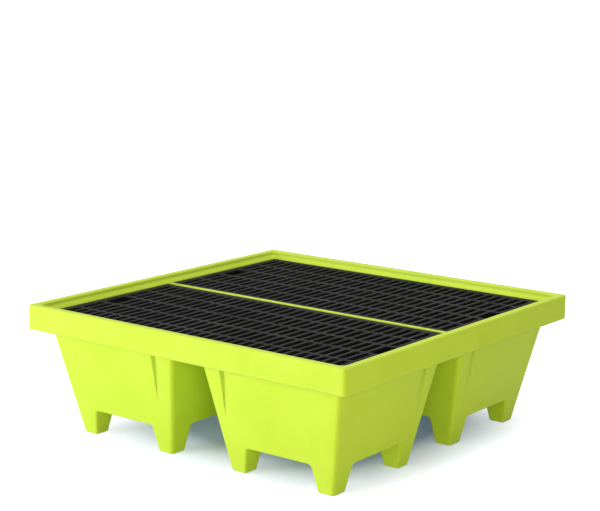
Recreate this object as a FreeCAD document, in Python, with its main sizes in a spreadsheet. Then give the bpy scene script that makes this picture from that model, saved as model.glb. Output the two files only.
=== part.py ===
import FreeCAD, Part
import Sketcher
import math
import os
import re

# Spill containment pallet: one moulded sump base with four tapered wells on sixteen feet,
# two lift-out gratings that carry the drums, and a threaded drain plug in its moulded-in insert.
# Frame: origin on the floor at the middle of the footprint, +X to the right, +Z up, front at -Y.

doc = FreeCAD.newDocument("SpillPallet")

# ---------------------------------------------------------------- driving dimensions (mm, degrees)
sizes = {
    "palletLength": (1270, "rim, outside, along X"),
    "palletWidth": (1270, "rim, outside, along Y"),
    "palletHeight": (432, "floor to the top of the rim"),
    "wallThickness": (6, "moulded skin of the sump base"),
    "bandHeight": (81, "outer face of the rim"),
    "rimTopWidth": (27, "rim top, from outer face to inner face"),
    "rimCornerRadius": (12, "upright corners of the rim"),
    "rimEdgeRadius": (5, "top edges of the rim"),
    "rimLedgeDrop": (13, "upright part of the inner face, above the slope"),
    "rimSlopeDrop": (13, "height of the slope on the inner face"),
    "rimSlopeRun": (10, "how far the slope comes in"),
    "rimOverhang": (53, "rim face to well face, under the rim"),
    "channelWidth": (116, "fork channel between two wells, at its roof"),
    "outerDraft": (11.5, "slope of the outward well faces"),
    "channelDraft": (10, "slope of the well faces beside a channel"),
    "wellCornerRadius": (14, "upright corners of the wells"),
    "wellRootRadius": (9, "well faces into the underside of the rim"),
    "footHeight": (87, "floor to the underside of the sump"),
    "footSize": (58, "side of a foot on the floor"),
    "footDraft": (10.5, "slope of the faces that feet turn to each other"),
    "footInnerRadius": (13, "inner upright edge of a foot"),
    "footSideRadius": (7, "other upright edges of a foot"),
    "footSoleRadius": (6.5, "bottom edges of a foot"),
    "archRadius": (12, "foot into the underside of the sump"),
    "sumpFloorRadius": (6, "sump floor into the well walls"),
    "grooveWidth": (18, "groove in an outward well face"),
    "grooveInset": (81, "well's channel side to the middle of the groove"),
    "grooveHeight": (172, "groove, down from the rim"),
    "grooveDepth": (14, "groove, where it meets the rim; it runs out at its lower end"),
    "dividerThickness": (10, "rib between the two gratings"),
    "dividerRise": (4, "rib above the gratings"),
    "gratingHeight": (48, "grating, ledge to deck"),
    "gratingClearance": (3, "grating to the rim and to the rib, all round"),
    "gratingCornerRadius": (10, "upright corners of a grating"),
    "gratingEdgeRadius": (2, "top edge of a grating"),
    "deckThickness": (10, "slotted plate of a grating"),
    "borderWidth": (24, "solid border of a grating"),
    "ribThickness": (8, "deep ribs under a grating"),
    "cellsAlong": (11, "rib cells along X"),
    "cellsAcross": (5, "rib cells along Y"),
    "slotsPerCell": (3, "drain slots in a cell, side by side"),
    "barWidth": (12, "bar between two slots"),
    "drainHeight": (29, "middle of the drain above the sump floor"),
    "drainBossRadius": (34, "boss around the drain"),
    "drainBossProud": (16, "boss face to the well face, at the middle of the drain"),
    "drainBossDepth": (30, "length of the boss"),
    "insertRadius": (26, "threaded insert, outside"),
    "insertFlangeRadius": (30, "anchoring flange of the insert"),
    "insertFlangeWidth": (8, "anchoring flange of the insert"),
    "threadRadius": (21, "drain thread, crest"),
    "threadDepth": (1.8, "drain thread, crest to root"),
    "threadPitch": (5, "drain thread"),
    "threadClearance": (0.08, "thread crest to the bore of the insert"),
    "plugLength": (26, "threaded part of the plug"),
    "plugFlangeRadius": (29, "flange of the plug"),
    "plugFlangeWidth": (6, "flange of the plug"),
    "plugHexSize": (32, "hexagon of the plug, across flats"),
    "plugHexHeight": (16, "hexagon of the plug"),
    "plugHollowRadius": (14, "hollow inside the plug"),
    "gasketThickness": (3, "gasket between plug and insert"),
    "gasketRadius": (27, "gasket, outside"),
    "gasketClearance": (0.3, "gasket bore to the thread, and gasket faces"),
}

sheet = doc.addObject("Spreadsheet::Sheet", "sizes")
for row, (alias, (value, meaning)) in enumerate(sizes.items(), start=1):
    sheet.set("A%d" % row, alias)
    sheet.set("B%d" % row, str(value))
    sheet.set("C%d" % row, meaning)
    sheet.setAlias("B%d" % row, alias)
doc.recompute()

aliasPattern = re.compile(r"\b(" + "|".join(sizes) + r")\b")


def size(alias):
    return float(sheet.get(alias))


def bind(thing, **expressions):
    # ties properties to the sheet; a double underscore stands for a dot in a property's path
    for path, text in expressions.items():
        thing.setExpression(path.replace("__", "."), aliasPattern.sub(r"sizes.\1", text))


# ---------------------------------------------------------------- levels and faces, as expressions
rimTop = "palletHeight"
bandBottom = "(palletHeight - bandHeight)"
ledgeTop = "(palletHeight - bandHeight + wallThickness)"
deckTop = "(palletHeight - bandHeight + wallThickness + gratingHeight)"
sumpFloor = "(footHeight + wallThickness)"
halfLength = "(palletLength / 2)"
halfWidth = "(palletWidth / 2)"
outerSlope = "tan(outerDraft * 1 deg)"
channelSlope = "tan(channelDraft * 1 deg)"
footSlope = "tan(footDraft * 1 deg)"
outerSkin = "(wallThickness / cos(outerDraft * 1 deg))"
channelSkin = "(wallThickness / cos(channelDraft * 1 deg))"
footSkin = "(wallThickness / cos(footDraft * 1 deg))"


def nearFace(level):
    # well face beside the channel, measured from the middle of the pallet
    return "(channelWidth / 2 + %s * (%s - %s))" % (channelSlope, bandBottom, level)


def farFace(half, level):
    # outward well face, measured from the middle of the pallet
    return "(%s - rimOverhang - %s * (%s - %s))" % (half, outerSlope, bandBottom, level)


def nearFootFace(level):
    # face that a foot beside the channel turns to the arch
    return "(%s + footSize + %s * %s)" % (nearFace("0"), footSlope, level)


def farFootFace(half, level):
    return "(%s - footSize - %s * %s)" % (farFace(half, "0"), footSlope, level)


# ---------------------------------------------------------------- small building functions
def box(name, x0, x1, y0, y1, z0, z1):
    block = doc.addObject("Part::Box", name)
    bind(block, Length="%s - (%s)" % (x1, x0), Width="%s - (%s)" % (y1, y0),
         Height="%s - (%s)" % (z1, z0),
         Placement__Base__x=x0, Placement__Base__y=y0, Placement__Base__z=z0)
    return block


def centredBox(name, halfX, halfY, z0, z1):
    return box(name, "-" + halfX, halfX, "-" + halfY, halfY, z0, z1)


def wedge(name, z0, z1, low, high):
    # block that tapers from the rectangle low, at z0, to the rectangle high, at z1;
    # each is x0, x1, y0, y1, with y measured towards the front
    block = doc.addObject("Part::Wedge", name)
    block.Placement = FreeCAD.Placement(FreeCAD.Vector(), FreeCAD.Rotation(FreeCAD.Vector(1, 0, 0), 90))
    bind(block, Ymin=z0, Ymax=z1, Xmin=low[0], Xmax=low[1], Zmin=low[2], Zmax=low[3],
         X2min=high[0], X2max=high[1], Z2min=high[2], Z2max=high[3])
    return block


def cylinder(name, radius, length, x, y, z):
    # cylinder that runs from y towards the back
    rod = doc.addObject("Part::Cylinder", name)
    rod.Placement = FreeCAD.Placement(FreeCAD.Vector(), FreeCAD.Rotation(FreeCAD.Vector(1, 0, 0), -90))
    bind(rod, Radius=radius, Height=length,
         Placement__Base__x=x, Placement__Base__y=y, Placement__Base__z=z)
    return rod


def fuse(name, parts):
    joined = doc.addObject("Part::MultiFuse", name)
    joined.Shapes = parts
    joined.Refine = True
    return joined


def cut(name, base, tool):
    rest = doc.addObject("Part::Cut", name)
    rest.Base = base
    rest.Tool = tool
    rest.Refine = True
    return rest


def mirrored(name, source, normal):
    copy = doc.addObject("Part::Mirroring", name)
    copy.Source = source
    copy.Normal = normal
    return copy


def inEveryQuarter(name, source):
    # the piece of the front right quarter, and its mirror images in the other three
    left = mirrored(name + "Left", source, FreeCAD.Vector(1, 0, 0))
    back = mirrored(name + "Back", source, FreeCAD.Vector(0, 1, 0))
    backLeft = mirrored(name + "BackLeft", left, FreeCAD.Vector(0, 1, 0))
    return [source, left, back, backLeft]


def rounded(name, base, radius, wanted):
    # rounds the edges for which wanted(edge) is true
    doc.recompute()
    fillet = doc.addObject("Part::Fillet", name)
    fillet.Base = base
    fillet.Edges = [(number, radius, radius)
                    for number, edge in enumerate(base.Shape.Edges, start=1) if wanted(edge)]
    return fillet


def bevelled(name, base, upright, level, wanted):
    # bevels the edges for which wanted(edge) is true
    doc.recompute()
    chamfer = doc.addObject("Part::Chamfer", name)
    chamfer.Base = base
    chamfer.Edges = [(number, upright, level)
                     for number, edge in enumerate(base.Shape.Edges, start=1) if wanted(edge)]
    return chamfer


tolerance = 0.01


def rises(edge):
    # straight edges that run mostly upwards
    ends = [vertex.Point for vertex in edge.Vertexes]
    if len(ends) < 2:
        return False
    way = ends[1] - ends[0]
    return abs(way.z) > 0.8 * way.Length


def liesAt(level):
    def test(edge):
        bounds = edge.BoundBox
        return abs(bounds.ZMin - level) < tolerance and abs(bounds.ZMax - level) < tolerance
    return test


# ---------------------------------------------------------------- sump base: rim and ledge
rimInnerX = "(palletLength / 2 - rimTopWidth)"
rimInnerY = "(palletWidth / 2 - rimTopWidth)"
trayX = "(palletLength / 2 - rimTopWidth - rimSlopeRun)"
trayY = "(palletWidth / 2 - rimTopWidth - rimSlopeRun)"
slopeTop = "(palletHeight - rimLedgeDrop)"
slopeFoot = "(palletHeight - rimLedgeDrop - rimSlopeDrop)"
hollowTop = "(palletHeight - wallThickness)"

rimBlock = centredBox("RimBlock", halfLength, halfWidth, bandBottom, rimTop)
rimCorners = rounded("RimCorners", rimBlock, size("rimCornerRadius"), rises)

hollowBlock = centredBox("RimHollowBlock", "(palletLength / 2 - wallThickness)",
                         "(palletWidth / 2 - wallThickness)", bandBottom, hollowTop)
hollowCorners = rounded("RimHollowCorners", hollowBlock,
                        size("rimCornerRadius") - size("wallThickness"), rises)
coreHighX = "(palletLength / 2 - rimTopWidth + wallThickness)"
coreHighY = "(palletWidth / 2 - rimTopWidth + wallThickness)"
coreLowX = coreHighX + " - rimSlopeRun"
coreLowY = coreHighY + " - rimSlopeRun"
hollowCore = wedge("RimHollowCore", bandBottom, hollowTop,
                   ("-(%s)" % coreLowX, coreLowX, "-(%s)" % coreLowY, coreLowY),
                   ("-" + coreHighX, coreHighX, "-" + coreHighY, coreHighY))
rimHollow = cut("RimHollow", hollowCorners, hollowCore)

upperTray = centredBox("UpperTray", rimInnerX, rimInnerY, slopeFoot, rimTop)
trayCornerRadius = size("rimCornerRadius") - size("wallThickness")
upperTrayCorners = rounded("UpperTrayCorners", upperTray,
                           trayCornerRadius + size("rimSlopeRun"), rises)
traySlope = bevelled("TraySlope", upperTrayCorners, size("rimSlopeDrop"), size("rimSlopeRun"),
                     liesAt(size("palletHeight") - size("rimLedgeDrop") - size("rimSlopeDrop")))
lowerTray = centredBox("LowerTray", trayX, trayY, ledgeTop, slopeFoot)
lowerTrayCorners = rounded("LowerTrayCorners", lowerTray, trayCornerRadius, rises)
tray = fuse("Tray", [traySlope, lowerTrayCorners])
rimOpen = cut("RimOpen", rimCorners, fuse("RimCuts", [rimHollow, tray]))
rim = rounded("Rim", rimOpen, size("rimEdgeRadius"), liesAt(size("palletHeight")))

# ---------------------------------------------------------------- sump base: one well and its feet
footRoof = "footHeight"
wellBlock = wedge("WellBlock", "0", ledgeTop,
                  (nearFace("0"), farFace(halfLength, "0"), nearFace("0"), farFace(halfWidth, "0")),
                  (nearFace(ledgeTop), farFace(halfLength, ledgeTop),
                   nearFace(ledgeTop), farFace(halfWidth, ledgeTop)))
wellCorners = rounded("WellCorners", wellBlock, size("wellCornerRadius"), rises)

archAlongY = wedge("ArchAlongY", "0", footRoof,
                   (nearFootFace("0"), farFootFace(halfLength, "0"), "0", halfWidth),
                   (nearFootFace(footRoof), farFootFace(halfLength, footRoof), "0", halfWidth))
archAlongX = wedge("ArchAlongX", "0", footRoof,
                   ("0", halfLength, nearFootFace("0"), farFootFace(halfWidth, "0")),
                   ("0", halfLength, nearFootFace(footRoof), farFootFace(halfWidth, footRoof)))
arches = fuse("Arches", [archAlongY, archAlongX])


def isInnerFootEdge(edge):
    # the four upright edges where the two arches cross
    middle = edge.BoundBox.Center
    inX = tolerance < middle.x < size("palletLength") / 2 - size("rimOverhang")
    inY = tolerance < -middle.y < size("palletWidth") / 2 - size("rimOverhang")
    return rises(edge) and inX and inY


archCorners = rounded("ArchCorners", arches, size("footInnerRadius"), isInnerFootEdge)
archRoof = rounded("ArchRoof", archCorners, size("archRadius"), liesAt(size("footHeight")))
well = cut("Well", wellCorners, archRoof)


def isArchOutline(edge):
    # the outline of an arch on one of the four sides of the well
    if edge.BoundBox.ZMax > size("footHeight") + tolerance or liesAt(0)(edge):
        return False
    near, far = size("channelWidth") / 2, size("palletLength") / 2 - size("rimOverhang")
    middle = edge.valueAt((edge.FirstParameter + edge.LastParameter) / 2)
    drop = size("palletHeight") - size("bandHeight") - middle.z
    near += math.tan(math.radians(size("channelDraft"))) * drop
    far -= math.tan(math.radians(size("outerDraft"))) * drop
    across = far + (size("palletWidth") - size("palletLength")) / 2
    gaps = [middle.x - near, middle.x - far, -middle.y - near, -middle.y - across]
    return min(abs(gap) for gap in gaps) < tolerance


wellSides = rounded("WellSides", well, size("footSideRadius"), isArchOutline)
wellSoles = rounded("WellSoles", wellSides, size("footSoleRadius"), liesAt(0))
baseBlock = fuse("BaseBlock", [rim] + inEveryQuarter("WellOutside", wellSoles))


def isWellRoot(edge):
    # where the well faces meet the underside of the rim
    reach = max(abs(edge.BoundBox.XMax), abs(edge.BoundBox.XMin),
                abs(edge.BoundBox.YMax), abs(edge.BoundBox.YMin))
    inside = size("palletLength") / 2 - size("rimOverhang") + tolerance
    return liesAt(size("palletHeight") - size("bandHeight"))(edge) and reach < inside


baseOutside = rounded("BaseOutside", baseBlock, size("wellRootRadius"), isWellRoot)
# ---------------------------------------------------------------- sump base: hollow of a well
skinCornerRadius = size("wellCornerRadius") - size("wallThickness")
mergeTop = "(footHeight + wallThickness + sumpFloorRadius)"


def bowlRectangle(level):
    return (nearFace(level) + " + " + channelSkin, farFace(halfLength, level) + " - " + outerSkin,
            nearFace(level) + " + " + channelSkin, farFace(halfWidth, level) + " - " + outerSkin)


bowlBlock = wedge("BowlBlock", sumpFloor, ledgeTop, bowlRectangle(sumpFloor), bowlRectangle(ledgeTop))
bowlCorners = rounded("BowlCorners", bowlBlock, skinCornerRadius, rises)
bowl = rounded("Bowl", bowlCorners, size("sumpFloorRadius"),
               liesAt(size("footHeight") + size("wallThickness")))


def footSpan(half, near, level):
    # inside of a foot along one axis
    if near:
        return nearFace(level) + " + " + channelSkin, nearFootFace(level) + " - " + footSkin
    return farFootFace(half, level) + " + " + footSkin, farFace(half, level) + " - " + outerSkin


footHollows = []
for nearX in (True, False):
    for nearY in (True, False):
        low, high = [footSpan(halfLength, nearX, level) + footSpan(halfWidth, nearY, level)
                     for level in ("wallThickness", mergeTop)]
        hollow = wedge("FootHollow", "wallThickness", mergeTop, low, high)
        footHollows.append(rounded("FootHollowCorners", hollow, skinCornerRadius, rises))

grooveMiddle = "(%s + grooveInset)" % nearFace(bandBottom)
grooveBottom = "(palletHeight - bandHeight - grooveHeight)"


def groove(name, half, alongX, grown, z0, z1):
    # groove of the front face, or of the right face when alongX is true
    left = "(%s - grooveWidth / 2 - %s)" % (grooveMiddle, grown)
    right = "(%s + grooveWidth / 2 + %s)" % (grooveMiddle, grown)
    mouth = "(%s - rimOverhang + wellRootRadius)" % half
    ends = []
    for level in (z0, z1):
        depth = "grooveDepth * (%s - %s) / grooveHeight" % (level, grooveBottom)
        back = "(%s - %s - %s)" % (farFace(half, level), depth, grown)
        ends.append((back, mouth, left, right) if alongX else (left, right, back, mouth))
    return wedge(name, z0, z1, *ends)


nestingRibs = [groove("NestingRibFront", halfWidth, False, "wallThickness", sumpFloor, ledgeTop),
               groove("NestingRibSide", halfLength, True, "wallThickness", sumpFloor, ledgeTop)]
wellHollow = cut("WellHollow", fuse("WellHollowBlock", [bowl] + footHollows),
                 fuse("NestingRibs", nestingRibs))
grooves = fuse("Grooves", [
    groove("GrooveFront", halfWidth, False, "0", grooveBottom, bandBottom),
    groove("GrooveSide", halfLength, True, "0", grooveBottom, bandBottom)])
baseShell = cut("BaseShell", baseOutside, fuse("BaseCuts", inEveryQuarter("WellInside", wellHollow)
                                                + inEveryQuarter("WellGrooves", grooves)))
divider = box("Divider", "-" + trayX, trayX, "-dividerThickness / 2", "dividerThickness / 2",
              ledgeTop, deckTop + " + dividerRise")
dividerTop = rounded("DividerTop", divider, size("dividerThickness") / 3,
                     lambda edge: edge.BoundBox.XLength > size("palletLength") / 2
                     and edge.BoundBox.ZMin > size("palletHeight") - size("bandHeight") / 2)

# ---------------------------------------------------------------- drain: boss, insert, gasket, plug
drainX = "(-(%s + %s) / 2)" % (nearFace(sumpFloor), farFace(halfLength, sumpFloor))
drainZ = "(footHeight + wallThickness + drainHeight)"
bossFace = "(%s + drainBossProud)" % farFace(halfWidth, drainZ)
bossBack = "(%s - drainBossDepth)" % bossFace


def drainRing(name, radius, length, start):
    return cylinder(name, radius, length, drainX, start, drainZ)


drainBoss = drainRing("DrainBoss", "drainBossRadius", "drainBossDepth", bossBack)
baseWithBoss = fuse("BaseWithBoss", [baseShell, dividerTop, drainBoss])


def insertOutside(name):
    # the insert's barrel and the flange that anchors it in the boss
    flangeStart = "%s + (drainBossDepth - insertFlangeWidth) / 2" % bossBack
    return fuse(name, [drainRing(name + "Barrel", "insertRadius", "drainBossDepth", bossBack),
                       drainRing(name + "Flange", "insertFlangeRadius", "insertFlangeWidth",
                                 flangeStart)])


sumpBase = cut("SumpBase", baseWithBoss, insertOutside("InsertSeat"))
sumpBase.Label = "sump_base"

insertBore = drainRing("InsertBore", "threadRadius + threadClearance", "drainBossDepth", bossBack)
drainInsert = cut("DrainInsert", insertOutside("InsertBody"), insertBore)
drainInsert.Label = "drain_insert"

gasketDisc = drainRing("GasketDisc", "gasketRadius", "gasketThickness", bossFace)
gasketBore = drainRing("GasketBore", "threadRadius + gasketClearance", "gasketThickness", bossFace)
drainGasket = cut("DrainGasket", gasketDisc, gasketBore)
drainGasket.Label = "drain_gasket"

plugSeat = "(%s + gasketThickness)" % bossFace
plugStart = "(%s + gasketThickness - plugLength)" % bossFace
plugStem = drainRing("PlugStem", "threadRadius - threadDepth", "plugLength", plugStart)
plugFlange = drainRing("PlugFlange", "plugFlangeRadius", "plugFlangeWidth", plugSeat)
plugFlangeEdge = rounded("PlugFlangeEdge", plugFlange, size("plugFlangeWidth") / 4,
                         lambda edge: edge.BoundBox.YLength < tolerance)
plugHexagon = doc.addObject("Part::Prism", "PlugHexagon")
plugHexagon.Polygon = 6
plugHexagon.Placement = FreeCAD.Placement(FreeCAD.Vector(),
                                          FreeCAD.Rotation(FreeCAD.Vector(1, 0, 0), -90))
bind(plugHexagon, Circumradius="plugHexSize / sqrt(3)", Height="plugHexHeight",
     Placement__Base__x=drainX, Placement__Base__y="%s + plugFlangeWidth" % plugSeat,
     Placement__Base__z=drainZ)
plugHollow = drainRing("PlugHollow", "plugHollowRadius", "plugLength", plugStart)
plugThreads = []
for turn in range(int(size("plugLength") / size("threadPitch"))):
    for half, (low, high) in enumerate((("threadDepth", "0"), ("0", "threadDepth"))):
        flank = doc.addObject("Part::Cone", "ThreadFlank")
        flank.Placement = FreeCAD.Placement(FreeCAD.Vector(),
                                            FreeCAD.Rotation(FreeCAD.Vector(1, 0, 0), -90))
        bind(flank, Radius1="threadRadius - " + low, Radius2="threadRadius - " + high,
             Height="threadPitch / 2", Placement__Base__x=drainX, Placement__Base__z=drainZ,
             Placement__Base__y="%s + threadPitch * %g" % (plugStart, turn + half / 2))
        plugThreads.append(flank)
drainPlug = cut("DrainPlug", fuse("PlugBody", [plugStem, plugFlangeEdge, plugHexagon] + plugThreads),
                plugHollow)
drainPlug.Label = "drain_plug"

# ---------------------------------------------------------------- gratings
gratingLength = "(2 * %s - 2 * gratingClearance)" % trayX
gratingWidth = "(%s - dividerThickness / 2 - 2 * gratingClearance)" % trayY
cellPitchX = "((%s - 2 * borderWidth + ribThickness) / cellsAlong)" % gratingLength
cellPitchY = "((%s - 2 * borderWidth + ribThickness) / cellsAcross)" % gratingWidth
firstCellX = "(borderWidth - %s / 2)" % gratingLength
firstCellY = "(borderWidth - %s / 2)" % gratingWidth
slotPitch = "(%s / slotsPerCell)" % cellPitchX
slotWidth = "(%s - barWidth)" % slotPitch


def originPart(body, role):
    return [part for part in body.Origin.OriginFeatures if part.Role == role][0]


def rectangleSketch(body, name, left, right, bottom, top, level="0"):
    # rectangle on the level given, each side tied to the sheet
    sketch = body.newObject("Sketcher::SketchObject", name)
    sketch.AttachmentSupport = (originPart(body, "XY_Plane"), "")
    sketch.MapMode = "FlatFace"
    bind(sketch, AttachmentOffset__Base__z=level)
    start = 10.0
    corners = [FreeCAD.Vector(x, y) for x, y in
               ((-start, -start), (start, -start), (start, start), (-start, start))]
    for side, corner in enumerate(corners):
        following = (side + 1) % len(corners)
        sketch.addGeometry(Part.LineSegment(corner, corners[following]))
    for side in range(len(corners)):
        sketch.addConstraint(Sketcher.Constraint("Coincident", side, 2, (side + 1) % len(corners), 1))
        sketch.addConstraint(Sketcher.Constraint("Vertical" if side % 2 else "Horizontal", side))
    places = (("bottom", "DistanceY", 0, -start, bottom), ("right", "DistanceX", 1, start, right),
              ("top", "DistanceY", 2, start, top), ("left", "DistanceX", 3, -start, left))
    for label, kind, side, value, text in places:
        sketch.addConstraint(Sketcher.Constraint(kind, -1, 1, side, 1, value))
        sketch.renameConstraint(sketch.ConstraintCount - 1, label)
        bind(sketch, **{"Constraints__" + label: text})
    return sketch


def extrude(body, kind, name, sketch, length, backwards=False):
    feature = body.newObject("PartDesign::" + kind, name)
    feature.Profile = sketch
    feature.Reversed = backwards
    feature.Refine = False
    bind(feature, Length=length)
    doc.recompute()
    return feature


def repeat(body, name, feature, countX, pitchX, countY, pitchY):
    # the feature again and again along X and along Y
    grid = body.newObject("PartDesign::MultiTransform", name)
    grid.Originals = [feature]
    grid.Refine = False
    rows = []
    for axis, count, pitch in (("X_Axis", countX, pitchX), ("Y_Axis", countY, pitchY)):
        row = body.newObject("PartDesign::LinearPattern", name + axis[0])
        row.Direction = (originPart(body, axis), [""])
        bind(row, Occurrences=count, Length="(%s - 1) * %s" % (count, pitch))
        rows.append(row)
    grid.Transformations = rows
    body.Tip = grid
    doc.recompute()
    return grid


def roundEdges(body, name, base, radius, wanted):
    fillet = body.newObject("PartDesign::Fillet", name)
    fillet.Base = (base, ["Edge%d" % number for number, edge in enumerate(base.Shape.Edges, start=1)
                          if wanted(edge)])
    fillet.Refine = False
    bind(fillet, Radius=radius)
    doc.recompute()
    return fillet


def makeGrating():
    # slotted deck plate on deep ribs, with a lifting hole near each end
    body = doc.addObject("PartDesign::Body", "FrontGrating")
    outline = rectangleSketch(body, "Outline", "-%s / 2" % gratingLength, "%s / 2" % gratingLength,
                              "-%s / 2" % gratingWidth, "%s / 2" % gratingWidth)
    block = extrude(body, "Pad", "Block", outline, "gratingHeight")
    corners = roundEdges(body, "Corners", block, "gratingCornerRadius", rises)
    roundEdges(body, "TopEdge", corners, "gratingEdgeRadius", liesAt(size("gratingHeight")))

    cell = rectangleSketch(body, "Cell", firstCellX, "%s + %s - ribThickness" % (firstCellX, cellPitchX),
                           firstCellY, "%s + %s - ribThickness" % (firstCellY, cellPitchY))
    cellPocket = extrude(body, "Pocket", "CellPocket", cell, "gratingHeight - deckThickness", True)
    repeat(body, "Cells", cellPocket, "cellsAlong", cellPitchX, "cellsAcross", cellPitchY)

    # lifting holes: the two slots beside each end border made into one
    outer = "(%s / 2 - borderWidth - (barWidth - ribThickness) / 2)" % gratingLength
    inner = "(%s - 2 * %s - barWidth)" % (outer, slotWidth)
    holeEnd = "(%s / 2 - barWidth / 2)" % cellPitchY
    for side, (left, right) in (("Left", ("-" + outer, "-" + inner)), ("Right", (inner, outer))):
        hole = rectangleSketch(body, "Handhole" + side, left, right, "-" + holeEnd, holeEnd)
        extrude(body, "Pocket", "HandholePocket" + side, hole, "gratingHeight", True)

    slotLeft = "(%s + (barWidth - ribThickness) / 2)" % firstCellX
    slotFront = "(%s + (barWidth - ribThickness) / 2)" % firstCellY
    slot = rectangleSketch(body, "Slot", slotLeft, "%s + %s" % (slotLeft, slotWidth),
                           slotFront, "%s + %s - barWidth" % (slotFront, cellPitchY),
                           "gratingHeight")
    slotPocket = extrude(body, "Pocket", "SlotPocket", slot, "deckThickness")
    repeat(body, "Slots", slotPocket, "cellsAlong * slotsPerCell", slotPitch,
           "cellsAcross", cellPitchY)
    bind(body, Placement__Base__z=ledgeTop,
         Placement__Base__y="-dividerThickness / 2 - gratingClearance - %s / 2" % gratingWidth)
    return body


frontGrating = makeGrating()
frontGrating.Label = "front_grating"
rearGrating = mirrored("RearGrating", frontGrating, FreeCAD.Vector(0, 1, 0))
rearGrating.Label = "rear_grating"

# ---------------------------------------------------------------- check and write
pieces = [sumpBase, frontGrating, rearGrating, drainInsert, drainGasket, drainPlug]
doc.recompute()
for thing in doc.Objects:
    if "Invalid" in thing.State or "Error" in thing.State:
        raise RuntimeError("%s did not build: %s" % (thing.Name, thing.State))
os.makedirs("parts", exist_ok=True)
for piece in pieces:
    shape = piece.Shape
    if shape.isNull() or not shape.isValid() or len(shape.Solids) != 1:
        raise RuntimeError("%s is not one valid solid" % piece.Label)
    shape.exportStep("parts/%s.step" % piece.Label)
    print(piece.Label, "volume", round(shape.Volume / 1000), "cm3")
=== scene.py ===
from math import cos, pi, radians, sin

import bmesh
import bpy
from mathutils import Matrix, Vector


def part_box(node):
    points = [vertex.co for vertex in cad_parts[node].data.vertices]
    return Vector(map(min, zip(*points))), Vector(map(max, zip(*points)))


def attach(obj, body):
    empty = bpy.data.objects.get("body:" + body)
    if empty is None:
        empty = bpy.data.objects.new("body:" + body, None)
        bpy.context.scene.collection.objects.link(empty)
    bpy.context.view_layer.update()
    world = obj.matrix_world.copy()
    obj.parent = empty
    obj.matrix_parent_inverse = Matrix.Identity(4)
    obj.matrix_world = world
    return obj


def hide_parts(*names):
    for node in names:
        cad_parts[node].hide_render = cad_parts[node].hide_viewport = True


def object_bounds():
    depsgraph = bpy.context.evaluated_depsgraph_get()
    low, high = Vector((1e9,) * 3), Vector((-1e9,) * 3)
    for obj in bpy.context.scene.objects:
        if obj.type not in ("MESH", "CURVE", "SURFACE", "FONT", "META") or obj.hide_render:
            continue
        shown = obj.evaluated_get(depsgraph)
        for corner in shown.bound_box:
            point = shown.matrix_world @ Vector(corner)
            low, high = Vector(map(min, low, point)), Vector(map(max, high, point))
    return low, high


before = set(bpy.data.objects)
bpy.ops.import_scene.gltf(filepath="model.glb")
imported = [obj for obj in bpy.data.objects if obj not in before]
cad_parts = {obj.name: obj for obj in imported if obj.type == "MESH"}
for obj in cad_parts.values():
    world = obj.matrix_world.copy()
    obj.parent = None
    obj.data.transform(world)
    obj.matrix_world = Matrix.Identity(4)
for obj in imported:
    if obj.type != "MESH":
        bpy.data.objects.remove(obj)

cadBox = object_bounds()
scene = bpy.context.scene
print("frame loaded:", ", ".join(sorted(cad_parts)))


def setSocket(tree, socket, value):
    # a socket takes either another node's output or a plain value
    if isinstance(value, bpy.types.NodeSocket):
        tree.links.new(value, socket)
    else:
        socket.default_value = value


def addNode(tree, kind, inputs=None, **settings):
    node = tree.nodes.new(kind)
    for name, value in settings.items():
        setattr(node, name, value)
    for name, value in (inputs or {}).items():
        setSocket(tree, node.inputs[name], value)
    return node


def addMath(tree, operation, *values, clamp=False):
    node = addNode(tree, "ShaderNodeMath", dict(enumerate(values)), operation=operation, use_clamp=clamp)
    return node.outputs[0]


def addNoise(tree, place, scale, detail, roughness=0.5, distortion=0.0):
    node = addNode(tree, "ShaderNodeTexNoise", {"Vector": place, "Scale": scale, "Detail": detail,
                                                "Roughness": roughness, "Distortion": distortion})
    return node.outputs[0]


def newGroup(name, sockets, outputs):
    group = bpy.data.node_groups.new(name, "ShaderNodeTree")
    for label, kind, value in sockets:
        socket = group.interface.new_socket(label, in_out="INPUT", socket_type=kind)
        socket.default_value = value
    for label, kind in outputs:
        group.interface.new_socket(label, in_out="OUTPUT", socket_type=kind)
    return group, addNode(group, "NodeGroupInput"), addNode(group, "NodeGroupOutput")


def useGroup(tree, group, values):
    node = tree.nodes.new("ShaderNodeGroup")
    node.node_tree = group
    for name, value in values.items():
        setSocket(tree, node.inputs[name], value)
    return node


def mixColour(tree, factor, first, second):
    node = addNode(tree, "ShaderNodeMix", data_type="RGBA", blend_type="MIX")
    # the mix node's sockets 6 and 7 are its two colours
    for index, value in ((0, factor), (6, first), (7, second)):
        setSocket(tree, node.inputs[index], value)
    return node.outputs[2]


def remap(tree, value, low, high, newLow=0.0, newHigh=1.0):
    node = addNode(tree, "ShaderNodeMapRange", {"Value": value, "From Min": low, "From Max": high,
                                                "To Min": newLow, "To Max": newHigh})
    return node.outputs["Result"]


def newMaterial(name):
    material = bpy.data.materials.new(name)
    material.use_nodes = True
    tree = material.node_tree
    return material, tree, tree.nodes["Principled BSDF"]


def clearTree(owner):
    owner.use_nodes = True
    owner.node_tree.nodes.clear()
    return owner.node_tree


# The effects below are node groups that several finishes share.

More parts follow.
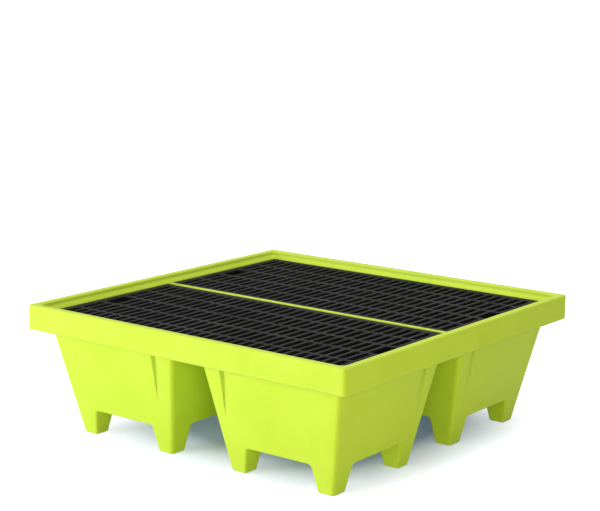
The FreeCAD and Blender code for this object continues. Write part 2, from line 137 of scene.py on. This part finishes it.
def makeMouldSkin():
    # orange peel with finer pits in it as a height, and broad clouds as a mottle
    group, given, result = newGroup(
        "mouldSkin",
        [("PeelSize", "NodeSocketFloat", 0.004), ("PitSize", "NodeSocketFloat", 0.001),
         ("PitShare", "NodeSocketFloat", 0.3)],
        [("Height", "NodeSocketFloat"), ("Mottle", "NodeSocketFloat")])
    place = addNode(group, "ShaderNodeTexCoord").outputs["Object"]
    peelScale = addMath(group, "DIVIDE", 1.0, given.outputs["PeelSize"])
    pitScale = addMath(group, "DIVIDE", 1.0, given.outputs["PitSize"])
    peel = addNoise(group, place, peelScale, detail=2.0, roughness=0.45)
    pits = addNoise(group, place, pitScale, detail=1.0, roughness=0.6)
    both = addNode(group, "ShaderNodeMix", {"Factor": given.outputs["PitShare"], "A": peel, "B": pits},
                   data_type="FLOAT")
    clouds = addNoise(group, place, scale=5.0, detail=5.0, roughness=0.55, distortion=0.4)
    group.links.new(both.outputs[0], result.inputs["Height"])
    group.links.new(clouds, result.inputs["Mottle"])
    return group


def makeEdgeWearAndHighlight():
    # rubbed edges, broken up into patches; between the patches every edge keeps 0.35 of the lightening
    # all along, which is a painted highlight on the edges
    group, given, result = newGroup(
        "edgeWearAndHighlight", [("Width", "NodeSocketFloat", 0.004), ("Amount", "NodeSocketFloat", 0.5)],
        [("Mask", "NodeSocketFloat")])
    place = addNode(group, "ShaderNodeTexCoord").outputs["Object"]
    rounded = addNode(group, "ShaderNodeBevel", {"Radius": given.outputs["Width"]}, samples=6)
    flat = addNode(group, "ShaderNodeNewGeometry")
    along = addNode(group, "ShaderNodeVectorMath", {0: rounded.outputs[0], 1: flat.outputs["Normal"]},
                    operation="DOT_PRODUCT")
    edge = remap(group, along.outputs["Value"], low=0.995, high=0.86)
    patches = addNoise(group, place, scale=22.0, detail=6.0, roughness=0.65)
    # the low end of 0.35 paints a highlight along every edge, under the patches of wear
    broken = remap(group, patches, low=0.40, high=0.68, newLow=0.35)
    wearAndHighlight = addMath(group, "MULTIPLY", edge, broken)
    scaled = addMath(group, "MULTIPLY", wearAndHighlight, given.outputs["Amount"], clamp=True)
    group.links.new(scaled, result.inputs["Mask"])
    return group


def makeScuffs():
    # short rubbed streaks, finer across than along
    group, given, result = newGroup(
        "scuffs", [("Along", "NodeSocketVector", (6.0, 60.0, 60.0)), ("Amount", "NodeSocketFloat", 0.3)],
        [("Mask", "NodeSocketFloat")])
    place = addNode(group, "ShaderNodeTexCoord").outputs["Object"]
    stretched = addNode(group, "ShaderNodeVectorMath", {0: place, 1: given.outputs["Along"]},
                        operation="MULTIPLY")
    streaks = addNoise(group, stretched.outputs[0], scale=4.0, detail=8.0, roughness=0.7)
    where = addNoise(group, place, scale=3.0, detail=2.0)
    lines = remap(group, streaks, low=0.58, high=0.74)
    areas = remap(group, where, low=0.45, high=0.7)
    both = addMath(group, "MULTIPLY", lines, areas)
    scaled = addMath(group, "MULTIPLY", both, given.outputs["Amount"], clamp=True)
    group.links.new(scaled, result.inputs["Mask"])
    return group


def makeCornerDust():
    # fine dust where surfaces meet and on what faces up
    group, given, result = newGroup(
        "cornerDust", [("Reach", "NodeSocketFloat", 0.03), ("Amount", "NodeSocketFloat", 0.3)],
        [("Mask", "NodeSocketFloat")])
    place = addNode(group, "ShaderNodeTexCoord").outputs["Object"]
    shut = addNode(group, "ShaderNodeAmbientOcclusion", {"Distance": given.outputs["Reach"]}, samples=6)
    corner = remap(group, shut.outputs["AO"], low=0.9, high=0.35)
    normal = addNode(group, "ShaderNodeNewGeometry").outputs["Normal"]
    up = addNode(group, "ShaderNodeSeparateXYZ", {0: normal}).outputs["Z"]
    facing = remap(group, up, low=0.2, high=1.0, newLow=0.1)
    specks = addNoise(group, place, scale=60.0, detail=6.0)
    uneven = remap(group, specks, low=0.35, high=0.7)
    lying = addMath(group, "MULTIPLY", corner, facing)
    both = addMath(group, "MULTIPLY", lying, uneven)
    scaled = addMath(group, "MULTIPLY", both, given.outputs["Amount"], clamp=True)
    group.links.new(scaled, result.inputs["Mask"])
    return group


mouldSkin, edgeWearAndHighlight = makeMouldSkin(), makeEdgeWearAndHighlight()
scuffs, cornerDust = makeScuffs(), makeCornerDust()
# nearly all of the mottle lies between these two values
mottleRange = (0.3, 0.7)
print("shared effects built")


def makePlastic(name, look):
    # a moulded plastic; its dictionary says which of the effects it wears
    material, tree, shader = newMaterial(name)
    skin = useGroup(tree, mouldSkin, look["skin"])
    mottle = skin.outputs["Mottle"]
    colour = look["colour"]
    if "deepColour" in look:
        colour = mixColour(tree, remap(tree, mottle, *look["toneRange"]), look["deepColour"], colour)
    # paler edges: patches of rubbed wear, and a painted highlight along every edge
    wearAndHighlight = useGroup(tree, edgeWearAndHighlight, look["edgeWearAndHighlightLook"])
    colour = mixColour(tree, wearAndHighlight.outputs["Mask"], colour, look["wearAndHighlightColour"])
    rough = remap(tree, mottle, *mottleRange, *look["roughness"])
    if "scuffs" in look:
        rubbed = useGroup(tree, scuffs, look["scuffs"])
        colour = mixColour(tree, rubbed.outputs["Mask"], colour, look["wearAndHighlightColour"])
        rough = addMath(tree, "MULTIPLY_ADD", rubbed.outputs["Mask"], look["scuffRoughness"], rough,
                        clamp=True)
    if "dust" in look:
        dusty = useGroup(tree, cornerDust, look["dust"])
        colour = mixColour(tree, dusty.outputs["Mask"], colour, look["dustColour"])
    tree.links.new(colour, shader.inputs["Base Color"])
    tree.links.new(rough, shader.inputs["Roughness"])
    bump = addNode(tree, "ShaderNodeBump", {"Strength": look["skinStrength"],
                                            "Distance": look["skinDepth"],
                                            "Height": skin.outputs["Height"]})
    if "edgeSoftness" in look:
        soft = addNode(tree, "ShaderNodeBevel", {"Radius": look["edgeSoftness"]}, samples=6)
        tree.links.new(soft.outputs[0], bump.inputs["Normal"])
    tree.links.new(bump.outputs[0], shader.inputs["Normal"])
    shader.inputs["Specular IOR Level"].default_value = look["shine"]
    return material


def paint(node, material):
    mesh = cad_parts[node].data
    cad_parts[node].active_material = material
    for slotIndex in range(len(mesh.materials)):
        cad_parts[node].material_slots[slotIndex].material = material


# lengths here and in the other dictionaries are in metres
sump = {
    "colour": (0.66, 0.84, 0.085, 1),
    "deepColour": (0.61, 0.79, 0.062, 1),
    "toneRange": (0.35, 0.7),
    # the paler colour of scuffs and rubbed edges, and of the painted edge highlight
    "wearAndHighlightColour": (0.78, 0.92, 0.30, 1),
    "dustColour": (0.50, 0.55, 0.30, 1),
    "roughness": (0.40, 0.52),
    "scuffRoughness": 0.5,
    "shine": 0.09,
    "skin": {"PeelSize": 0.0055, "PitSize": 0.0012, "PitShare": 0.35},
    "skinStrength": 0.55,
    "skinDepth": 0.00035,
    "edgeSoftness": 0.007,
    # width and strength of the edge wear and of the painted edge highlight
    "edgeWearAndHighlightLook": {"Width": 0.007, "Amount": 0.7},
    "scuffs": {"Along": (20.0, 20.0, 4.0), "Amount": 0.2},
    "dust": {"Reach": 0.04, "Amount": 0.35},
}

paint("sump_base", makePlastic("limePolyethylene", sump))
print("sump painted")


# border, rib and bar are widths seen from above, and deck is the slotted plate's thickness
grating = {
    "border": 0.024,
    "rib": 0.008,
    "bar": 0.012,
    "deck": 0.010,
    "cellsAlong": 11,
    "cellsAcross": 5,
    "slotsPerCell": 3,
    "cornerRadius": 0.010,
    "slotRadius": 0.0085,
    "cellRadius": 0.006,
    "edgeRound": 0.0018,
    "weldDistance": 1e-6,
    "colour": (0.007, 0.0072, 0.008, 1),
    # the paler colour of scuffs and rubbed edges, and of the painted edge highlight
    "wearAndHighlightColour": (0.030, 0.031, 0.032, 1),
    "dustColour": (0.06, 0.06, 0.056, 1),
    "roughness": (0.6, 0.78),
    "scuffRoughness": 0.3,
    "shine": 0.15,
    "skin": {"PeelSize": 0.003, "PitSize": 0.0008, "PitShare": 0.6},
    "skinStrength": 0.5,
    "skinDepth": 0.00025,
    "edgeWearAndHighlightLook": {"Width": 0.003, "Amount": 0.7},
    "scuffs": {"Along": (8.0, 60.0, 60.0), "Amount": 0.6},
    "dust": {"Reach": 0.02, "Amount": 0.4},
}


def roundedOutline(middle, width, depth, radius, steps=5):
    # corner arcs of a rectangle, counter-clockwise from the right front
    points = []
    for corner, (sideX, sideY) in enumerate(((1, -1), (1, 1), (-1, 1), (-1, -1))):
        for step in range(steps + 1):
            turn = (corner - 1) * pi / 2 + step / steps * pi / 2
            points.append((middle[0] + sideX * (width / 2 - radius) + radius * cos(turn),
                           middle[1] + sideY * (depth / 2 - radius) + radius * sin(turn)))
    return points


def pressedPlate(name, outlines, bottom, top, edge):
    # a flat plate with holes and rounded edges, as a mesh
    curve = bpy.data.curves.new(name, "CURVE")
    curve.dimensions = "2D"
    curve.fill_mode = "BOTH"
    curve.extrude = (top - bottom) / 2 - edge
    curve.bevel_depth = edge
    curve.bevel_resolution = 2
    curve.offset = -edge
    for points in outlines:
        spline = curve.splines.new("POLY")
        spline.points.add(len(points) - 1)
        for point, place in zip(spline.points, points):
            point.co = (*place, 0, 1)
        spline.use_cyclic_u = True
    drawn = bpy.data.objects.new(name, curve)
    drawn.location.z = (bottom + top) / 2
    scene.collection.objects.link(drawn)
    bpy.context.view_layer.update()
    evaluated = drawn.evaluated_get(bpy.context.evaluated_depsgraph_get())
    mesh = bpy.data.meshes.new_from_object(evaluated)
    mesh.transform(drawn.matrix_world)
    bpy.data.objects.remove(drawn)
    bpy.data.curves.remove(curve)
    return mesh


def joinMeshes(name, meshes, material, body):
    build = bmesh.new()
    for mesh in meshes:
        build.from_mesh(mesh)
        bpy.data.meshes.remove(mesh)
    bmesh.ops.remove_doubles(build, verts=build.verts, dist=grating["weldDistance"])
    joined = bpy.data.meshes.new(name)
    build.to_mesh(joined)
    build.free()
    joined.materials.clear()
    joined.materials.append(material)
    piece = bpy.data.objects.new(name, joined)
    scene.collection.objects.link(piece)
    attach(piece, body)
    return piece


def makeGrating(node, body, material):
    low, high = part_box(node)
    width, depth = high[0] - low[0], high[1] - low[1]
    middle = ((low[0] + high[0]) / 2, (low[1] + high[1]) / 2)
    cellsAlong, cellsAcross = grating["cellsAlong"], grating["cellsAcross"]
    pitchX = (width - 2 * grating["border"] + grating["rib"]) / cellsAlong
    pitchY = (depth - 2 * grating["border"] + grating["rib"]) / cellsAcross
    slotPitch = pitchX / grating["slotsPerCell"]
    slotsAlong = cellsAlong * grating["slotsPerCell"]
    slotWide, slotLong = slotPitch - grating["bar"], pitchY - grating["bar"]
    left = middle[0] - (slotsAlong - 1) / 2 * slotPitch
    front = middle[1] - (cellsAcross - 1) / 2 * pitchY

    outline = roundedOutline(middle, width, depth, grating["cornerRadius"])
    slots, cells = [outline], [outline]
    for row in range(cellsAcross):
        liftingRow = row == cellsAcross // 2
        for column in range(slotsAlong):
            place, slotWidth = (left + column * slotPitch, front + row * pitchY), slotWide
            if liftingRow and column in (1, slotsAlong - 1):
                continue
            if liftingRow and column in (0, slotsAlong - 2):
                # the end slot and the one beside it, made into one lifting hole
                place, slotWidth = (place[0] + slotPitch / 2, place[1]), slotPitch + slotWide
            slots.append(roundedOutline(place, slotWidth, slotLong, grating["slotRadius"]))
        for column in range(cellsAlong):
            place = (middle[0] + (column - (cellsAlong - 1) / 2) * pitchX, front + row * pitchY)
            cells.append(roundedOutline(place, pitchX - grating["rib"], pitchY - grating["rib"],
                                        grating["cellRadius"]))

    edge = grating["edgeRound"]
    deckBottom = high[2] - grating["deck"]
    meshes = [pressedPlate("deck", slots, deckBottom, high[2], edge),
              pressedPlate("ribs", cells, low[2], deckBottom + edge, edge / 2)]
    piece = joinMeshes(node + "_moulding", meshes, material, body)
    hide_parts(node)


blackPolyethylene = makePlastic("blackPolyethylene", grating)
makeGrating("front_grating", "front_grating", blackPolyethylene)
makeGrating("rear_grating", "rear_grating", blackPolyethylene)
print("gratings moulded")


insert = {
    "colour": (0.72, 0.50, 0.20, 1),
    "dullColour": (0.40, 0.27, 0.12, 1),
    "toneRange": (0.4, 0.7),
    "roughness": (0.28, 0.5),
    "skin": {"PeelSize": 0.002, "PitSize": 0.0004, "PitShare": 0.7},
    "skinStrength": 0.3,
    "skinDepth": 0.0001,
    "scuffs": {"Along": (200.0, 10.0, 200.0), "Amount": 0.6},
}
gasket = {
    "colour": (0.02, 0.02, 0.021, 1),
    # the paler colour of rubbed edges, and of the painted edge highlight
    "wearAndHighlightColour": (0.09, 0.09, 0.092, 1),
    "roughness": (0.6, 0.75),
    "shine": 0.5,
    "skin": {"PeelSize": 0.0015, "PitSize": 0.0005, "PitShare": 0.6},
    "skinStrength": 0.4,
    "skinDepth": 0.00015,
    "edgeWearAndHighlightLook": {"Width": 0.0012, "Amount": 0.6},
}
plug = {**gasket, "colour": (0.03, 0.031, 0.034, 1), "roughness": (0.35, 0.5)}


def makeTurnedBrass():
    material, tree, shader = newMaterial("turnedBrass")
    skin = useGroup(tree, mouldSkin, insert["skin"])
    rubbed = useGroup(tree, scuffs, insert["scuffs"])
    tarnish = remap(tree, skin.outputs["Mottle"], *insert["toneRange"])
    colour = mixColour(tree, tarnish, insert["colour"], insert["dullColour"])
    rough = remap(tree, rubbed.outputs["Mask"], 0.0, 1.0, *insert["roughness"])
    bump = addNode(tree, "ShaderNodeBump", {"Strength": insert["skinStrength"],
                                            "Distance": insert["skinDepth"],
                                            "Height": skin.outputs["Height"]})
    tree.links.new(colour, shader.inputs["Base Color"])
    tree.links.new(rough, shader.inputs["Roughness"])
    tree.links.new(bump.outputs[0], shader.inputs["Normal"])
    shader.inputs["Metallic"].default_value = 1.0
    return material


paint("drain_insert", makeTurnedBrass())
paint("drain_gasket", makePlastic("gasketRubber", gasket))
paint("drain_plug", makePlastic("plugPolypropylene", plug))
print("drain painted")


# floorDrop keeps the floor just under the feet; shadowFade is where the floor's
# shade begins and ends, as a distance from the middle of the shifted footprint
studio = {
    "floorReach": 90.0,
    "floorDrop": 0.0005,
    "floorColour": (0.76, 0.78, 1.0, 1),
    "bounceColour": (0.86, 0.86, 0.66, 1),
    "shadowGlow": (0.025, 0.05, 0.14, 1),
    "openGlow": (1.0, 1.0, 1.12, 1),
    "shadowShift": (0.035, 0.035, 0.0),
    "shadowFade": (0.35, 0.70),
    "dome": (1.0, 0.98, 0.62, 1),
    "domeStrength": 0.28,
    "aim": (0, 0, 0.2),
}
softboxes = {
    "keySoftbox": {"place": (-2.9, -4.4, 1.15), "size": (3.6, 2.1), "power": 200,
                   "colour": (0.84, 0.88, 1.0)},
    "topSoftbox": {"place": (0.3, 0.2, 3.6), "size": (2.6, 2.6), "power": 62,
                   "colour": (1.0, 1.0, 1.0)},
    "fillSoftbox": {"place": (3.6, -4.0, 1.4), "size": (2.6, 2.2), "power": 70,
                    "colour": (1.0, 0.98, 0.62)},
}
view = {
    "focalLength": 97.15,
    "sensorWidth": 36,
    "place": (3.17436, -4.14626, 1.58449),
    "azimuth": 37.563,
    "downward": 10.894,
    "roll": 0.569,
}


def whiteToCamera(tree, seen, unseen):
    # the first shader for the camera and for reflections, the other for every other ray
    path = addNode(tree, "ShaderNodeLightPath")
    looks = addMath(tree, "MAXIMUM", path.outputs["Is Camera Ray"], path.outputs["Is Glossy Ray"])
    looks = addMath(tree, "MAXIMUM", looks, path.outputs["Is Transmission Ray"])
    mix = addNode(tree, "ShaderNodeMixShader", {0: looks, 1: unseen, 2: seen})
    return mix.outputs[0]


def makeFloor():
    material = bpy.data.materials.new("studioFloor")
    tree = clearTree(material)
    paper = addNode(tree, "ShaderNodeBsdfDiffuse", {"Color": studio["floorColour"]})
    bounce = addNode(tree, "ShaderNodeBsdfDiffuse", {"Color": studio["bounceColour"]})
    place = addNode(tree, "ShaderNodeTexCoord").outputs["Object"]
    powers = addNode(tree, "ShaderNodeVectorMath", {0: place, 1: studio["shadowShift"]},
                     operation="SUBTRACT")
    # the fourth root of x and y to the fourth, which is a square with round corners
    for _ in range(2):
        powers = addNode(tree, "ShaderNodeVectorMath", {0: powers.outputs[0], 1: powers.outputs[0]},
                         operation="MULTIPLY")
    total = addNode(tree, "ShaderNodeVectorMath", {0: powers.outputs[0], 1: (1, 1, 0)},
                    operation="DOT_PRODUCT")
    away = addMath(tree, "POWER", total.outputs["Value"], 0.25)
    fade = remap(tree, away, *studio["shadowFade"])
    glow = addNode(tree, "ShaderNodeEmission",
                   {"Color": mixColour(tree, fade, studio["shadowGlow"], studio["openGlow"])})
    lifted = addNode(tree, "ShaderNodeAddShader", {0: paper.outputs[0], 1: glow.outputs[0]})
    surface = whiteToCamera(tree, lifted.outputs[0], bounce.outputs[0])
    addNode(tree, "ShaderNodeOutputMaterial", {"Surface": surface})
    mesh = bpy.data.meshes.new("studioFloor")
    reach = studio["floorReach"]
    corners = [(-reach, -reach, 0), (reach, -reach, 0), (reach, reach, 0), (-reach, reach, 0)]
    mesh.from_pydata(corners, [], [(0, 1, 2, 3)])
    mesh.materials.append(material)
    floor = bpy.data.objects.new("studioFloor", mesh)
    floor.location.z = cadBox[0][2] - studio["floorDrop"]
    scene.collection.objects.link(floor)


def makeDome():
    world = bpy.data.worlds.new("studioDome")
    tree = clearTree(world)
    white = addNode(tree, "ShaderNodeBackground", {"Color": (1, 1, 1, 1), "Strength": 1.0})
    soft = addNode(tree, "ShaderNodeBackground", {"Color": studio["dome"],
                                                  "Strength": studio["domeStrength"]})
    surface = whiteToCamera(tree, white.outputs[0], soft.outputs[0])
    addNode(tree, "ShaderNodeOutputWorld", {"Surface": surface})
    scene.world = world


def makeSoftbox(name, place, size, power, colour):
    lamp = bpy.data.lights.new(name, "AREA")
    lamp.shape = "RECTANGLE"
    lamp.size, lamp.size_y = size
    lamp.energy = power
    lamp.color = colour
    box = bpy.data.objects.new(name, lamp)
    box.location = place
    ahead = Vector(studio["aim"]) - Vector(place)
    box.rotation_euler = ahead.to_track_quat("-Z", "Y").to_euler()
    scene.collection.objects.link(box)


def makeCamera():
    turn, down, roll = (radians(view[name]) for name in ("azimuth", "downward", "roll"))
    ahead = Vector((-sin(turn) * cos(down), cos(turn) * cos(down), -sin(down)))
    right = ahead.cross(Vector((0, 0, 1))).normalized()
    up = right.cross(ahead)
    leanRight = right * cos(roll) + up * sin(roll)
    leanUp = up * cos(roll) - right * sin(roll)
    lens = bpy.data.cameras.new("camera")
    lens.lens = view["focalLength"]
    lens.sensor_width = view["sensorWidth"]
    camera = bpy.data.objects.new("camera", lens)
    facing = Matrix((leanRight, leanUp, -ahead)).transposed().to_4x4()
    camera.matrix_world = Matrix.Translation(view["place"]) @ facing
    scene.collection.objects.link(camera)
    scene.camera = camera


makeFloor()
makeDome()
for name, values in softboxes.items():
    makeSoftbox(name, **values)
makeCamera()
scene.view_settings.view_transform = "Standard"
print("studio lit")
